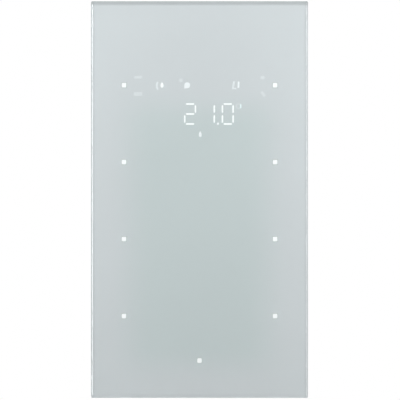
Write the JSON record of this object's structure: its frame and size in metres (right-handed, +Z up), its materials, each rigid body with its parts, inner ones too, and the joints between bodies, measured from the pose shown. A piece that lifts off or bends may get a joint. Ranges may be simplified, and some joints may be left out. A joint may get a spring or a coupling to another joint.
{
  "type": "touch light switch",
  "caption": "Glass touch switch with square status windows and a lit display, clipped by springs onto a steel plate for two stacked wall boxes.",
  "frame": {"origin": "middle of the support plate's back face, which lies on the wall", "axes": "+Z up, +X to the right seen from the front, +Y into the wall"},
  "size_m": [0.088, 0.0302, 0.161],
  "materials": {
    "glass": "polished float glass",
    "silver_print": "smooth silver-grey lacquer",
    "black_foam_tape": "closed foam tape",
    "clear_foil": "clear polyester",
    "white_housing": "fine moulded texture",
    "white_reflector": "moulded white",
    "diffuser": "milky film",
    "lamp_chip": "clear resin over phosphor",
    "clear_guide": "clear moulded",
    "circuit_board": "solder mask",
    "chip_black": "moulded epoxy",
    "connector_plastic": "moulded",
    "tinned_metal": "plain drawn can",
    "probe_bead": "dipped resin",
    "grey_cover": "fine moulded texture",
    "button_grey": "moulded",
    "red_lens": "tinted resin",
    "red_terminal": "moulded",
    "dark_terminal": "moulded",
    "brass": "turned",
    "galvanised_plate": "zinc-coated sheet",
    "spring_steel": "rolled strip",
    "zinc_screw": "bright zinc"
  },
  "bodies": {
    "wall_plate": {"support_plate": "galvanised_plate", "latch_spring_top_left": "spring_steel", "latch_spring_top_right": "spring_steel", "latch_spring_bottom_left": "spring_steel", "latch_spring_bottom_right": "spring_steel"},
    "sensor_head": {"glass_panel": "glass", "back_print": "silver_print", "bonding_tape": "black_foam_tape", "touch_foil": "clear_foil", "carrier_frame": "white_housing", "display_light_box": "white_reflector", "display_film": "diffuser", "display_leds": "lamp_chip", "status_leds": "lamp_chip", "main_board": "circuit_board", "main_controller": "chip_black", "touch_controller": "chip_black", "crystal": "tinned_metal", "foil_connector": "connector_plastic", "board_passives": "chip_black", "temperature_probe": "probe_bead", "rear_cover": "grey_cover", "cover_screws": "zinc_screw", "coupler_board": "circuit_board", "board_header": "connector_plastic", "bus_transceiver": "chip_black", "storage_capacitor": "tinned_metal", "choke": "chip_black", "bus_pins": "brass", "programming_switch": "connector_plastic", "programming_led": "red_lens", "lock_insert": "brass", "operation_guide": "clear_guide", "status_guide_left_1": "clear_guide", "status_guide_left_2": "clear_guide", "status_guide_left_3": "clear_guide", "status_guide_left_4": "clear_guide", "status_guide_right_1": "clear_guide", "status_guide_right_2": "clear_guide", "status_guide_right_3": "clear_guide", "status_guide_right_4": "clear_guide"},
    "button": {"programming_button": "button_grey"},
    "bus_terminal": {"bus_terminal_red": "red_terminal", "bus_terminal_grey": "dark_terminal"},
    "lock_screw": {"locking_screw": "zinc_screw"}
  },
  "joints": [
    {"name": "head_release", "type": "slide", "parent": "wall_plate", "child": "sensor_head", "axis": [0, -1, 0], "range_m": [0, 0.027], "deforming": ["latch_spring_top_left", "latch_spring_top_right", "latch_spring_bottom_left", "latch_spring_bottom_right"]},
    {"name": "button_press", "type": "slide", "parent": "sensor_head", "child": "button", "axis": [0, -1, 0], "range_m": [0, 0.0004], "stiffness_N_per_m": 2500, "springref_m": -0.0002},
    {"name": "terminal_pull", "type": "slide", "parent": "sensor_head", "child": "bus_terminal", "axis": [0, 1, 0], "range_m": [0, 0.009]},
    {"name": "lock_drive", "type": "slide", "parent": "sensor_head", "child": "lock_screw", "axis": [0, 0, 1], "range_m": [0, 0.0026]}
  ]
}
